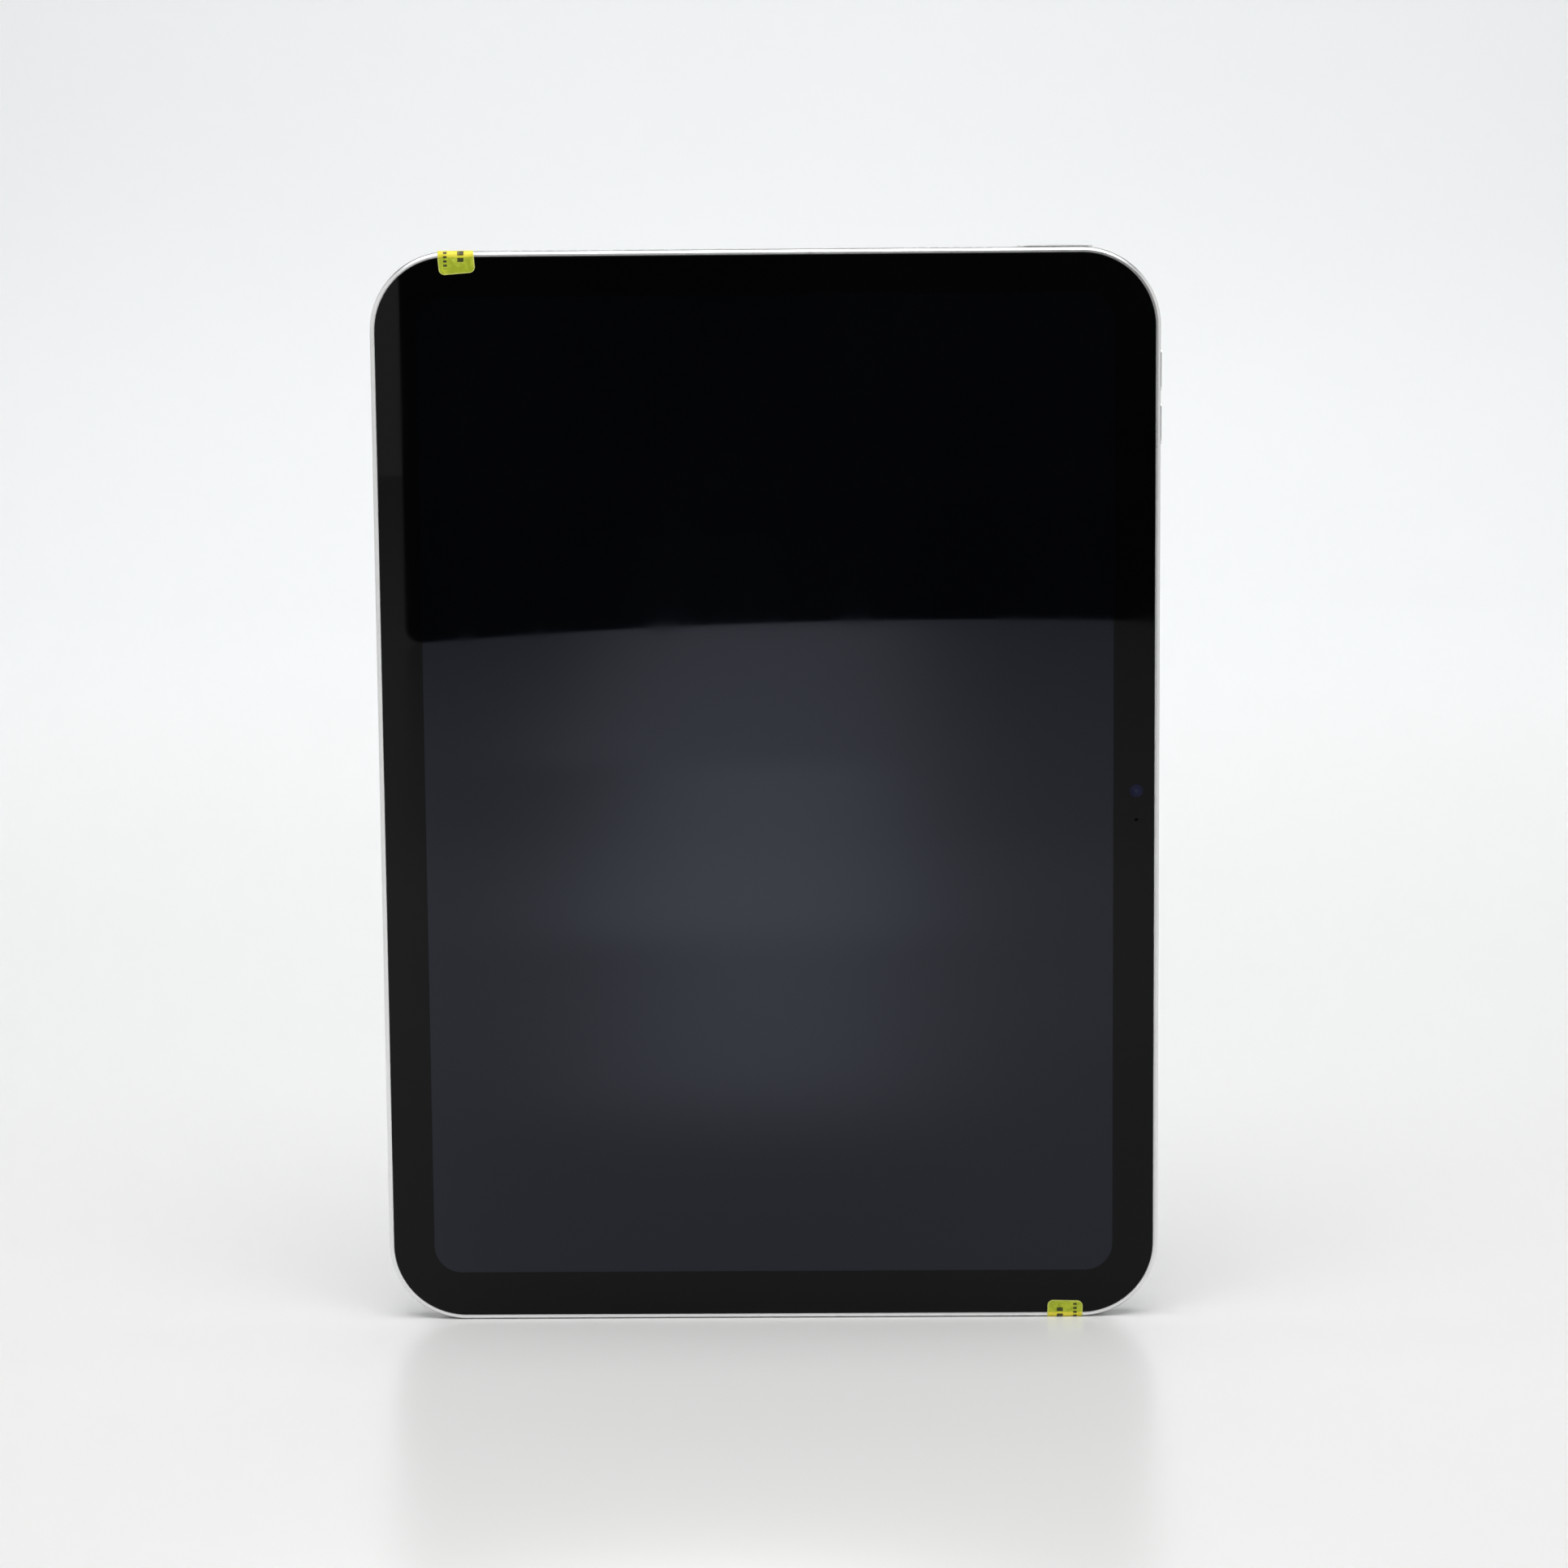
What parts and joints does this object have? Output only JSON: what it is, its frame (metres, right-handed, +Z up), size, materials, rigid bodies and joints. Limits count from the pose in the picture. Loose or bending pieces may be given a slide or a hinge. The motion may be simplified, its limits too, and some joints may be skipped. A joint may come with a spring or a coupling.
{
  "type": "tablet computer",
  "caption": "Slim flat tablet computer in a rounded aluminium body with a full-face glass screen, edge push buttons, speaker holes, a charging port and a rear camera.",
  "frame": {"origin": "middle of the bottom edge, halfway through the thickness of the body", "axes": "+Z up along the long side in portrait, -Y out of the screen, +X to the right of someone facing the screen"},
  "size_m": [0.1797, 0.0082, 0.2491],
  "materials": {
    "anodised_aluminium": "bead-blasted and anodised, satin silver",
    "cover_glass": "polished, black border printed on its back",
    "black_adhesive": "matt foam tape",
    "display_glass": "polariser film, switched off",
    "backlight_back": "rolled",
    "steel": "stamped",
    "sapphire": "polished dark strip",
    "lens": "coated lens",
    "black_plastic": "moulded",
    "grey_plastic": "moulded, pale grey",
    "battery_pouch": "foil pouch",
    "circuit_board": "dark solder mask",
    "shield_can": "drawn lid",
    "gold_contact": "plated",
    "flex_cable": "thin film",
    "magnet": "nickel plated",
    "yellow_seal": "printed tape with no text"
  },
  "bodies": {
    "tablet": {"rear_housing": "anodised_aluminium", "rear_camera_ring": "anodised_aluminium", "front_glass": "cover_glass", "glass_adhesive": "black_adhesive", "lcd_panel": "display_glass", "backlight_unit": "backlight_back", "display_screw_1": "steel", "display_screw_2": "steel", "display_screw_3": "steel", "display_screw_4": "steel", "top_button_bracket": "steel", "volume_bracket": "steel", "usb_c_shell": "steel", "rear_camera_cover": "lens", "front_camera_lens": "lens", "top_button_switch": "black_plastic", "volume_up_switch": "black_plastic", "volume_down_switch": "black_plastic", "rear_camera_module": "black_plastic", "front_camera_module": "black_plastic", "ambient_light_sensor": "black_plastic", "speaker_top_left": "black_plastic", "speaker_top_right": "black_plastic", "speaker_bottom_left": "black_plastic", "speaker_bottom_right": "black_plastic", "speaker_mesh_top_left": "black_plastic", "speaker_mesh_top_right": "black_plastic", "speaker_mesh_bottom_left": "black_plastic", "speaker_mesh_bottom_right": "black_plastic", "usb_c_tongue": "black_plastic", "accessory_insulator": "grey_plastic", "battery_cell_left": "battery_pouch", "battery_cell_right": "battery_pouch", "battery_board": "circuit_board", "logic_board": "circuit_board", "usb_c_board": "circuit_board", "processor_shield": "shield_can", "memory_shield": "shield_can", "radio_shield": "shield_can", "rear_microphone": "shield_can", "side_microphone": "shield_can", "accessory_contact_1": "gold_contact", "accessory_contact_2": "gold_contact", "accessory_contact_3": "gold_contact", "battery_flex": "flex_cable", "display_flex": "flex_cable", "touch_flex": "flex_cable", "front_camera_flex": "flex_cable", "wifi_antenna_left": "flex_cable", "wifi_antenna_right": "flex_cable", "cover_magnet_left": "magnet", "cover_magnet_right": "magnet", "tamper_seal_top": "yellow_seal", "tamper_seal_bottom": "yellow_seal"},
    "top_button": {"top_button": "anodised_aluminium", "fingerprint_sensor": "sapphire"},
    "volume_up": {"volume_up_button": "anodised_aluminium"},
    "volume_down": {"volume_down_button": "anodised_aluminium"},
    "focus_barrel": {"rear_camera_barrel": "lens"}
  },
  "joints": [
    {"name": "top_button_press", "type": "slide", "parent": "tablet", "child": "top_button", "axis": [0, 0, -1], "range_m": [0, 0.00025], "stiffness_N_per_m": 6000},
    {"name": "volume_up_press", "type": "slide", "parent": "tablet", "child": "volume_up", "axis": [-1, 0, 0], "range_m": [0, 0.00025], "stiffness_N_per_m": 6000},
    {"name": "volume_down_press", "type": "slide", "parent": "tablet", "child": "volume_down", "axis": [-1, 0, 0], "range_m": [0, 0.00025], "stiffness_N_per_m": 6000},
    {"name": "rear_camera_focus", "type": "slide", "parent": "tablet", "child": "focus_barrel", "axis": [0, 1, 0], "range_m": [0, 0.0003], "stiffness_N_per_m": 60}
  ]
}
